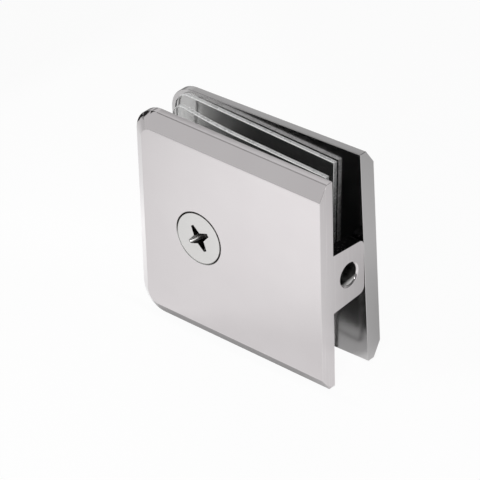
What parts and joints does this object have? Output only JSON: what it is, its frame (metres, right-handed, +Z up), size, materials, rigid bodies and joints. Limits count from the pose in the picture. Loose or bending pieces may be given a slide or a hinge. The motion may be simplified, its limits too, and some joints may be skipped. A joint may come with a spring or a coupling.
{
  "type": "glass clamp",
  "caption": "Wall-mounted U-shaped clamp for a glass panel: bevelled metal plates, a web with a wall-screw hole, and a countersunk screw that draws them together over clear gaskets.",
  "frame": {"origin": "on the wall face, on the axis of the wall screw's hole, midway between the plates and at mid-height", "axes": "+X out of the wall face, towards the wall; +Y from the front plate to the back plate; +Z up"},
  "size_m": [0.0536, 0.0182, 0.0516],
  "materials": {
    "plate_metal": "polished bright plating",
    "screw_metal": "bright plating",
    "clear_gasket": "clear soft sheet"
  },
  "bodies": {
    "front": {"front_plate": "plate_metal"},
    "front_pad": {"front_gasket": "clear_gasket"},
    "rear_pad": {"rear_gasket": "clear_gasket"},
    "back": {"back_plate": "plate_metal"},
    "screw": {"clamp_screw": "screw_metal"}
  },
  "joints": [
    {"name": "back_slide", "type": "slide", "parent": "front", "child": "rear_pad", "axis": [0, 1, 0], "range_m": [0, 0.0025]},
    {"name": "back_swivel", "type": "hinge", "parent": "rear_pad", "child": "back", "pos_m": [-0.0334, 0.007, 0], "axis": [0, 1, 0], "range_deg": [-10, 10]},
    {"name": "screw_turn", "type": "hinge", "parent": "front", "child": "screw", "pos_m": [-0.0334, 0, 0], "axis": [0, -1, 0], "range_deg": [-1, 901]},
    {"name": "front_gasket_slide", "type": "slide", "parent": "front", "child": "front_pad", "axis": [0, 1, 0], "range_m": [-0.0029, 0.0015]}
  ],
  "couplings": [
    {"joint": "screw_turn", "follows": "back_slide", "rad_per_m": 6283.2}
  ]
}
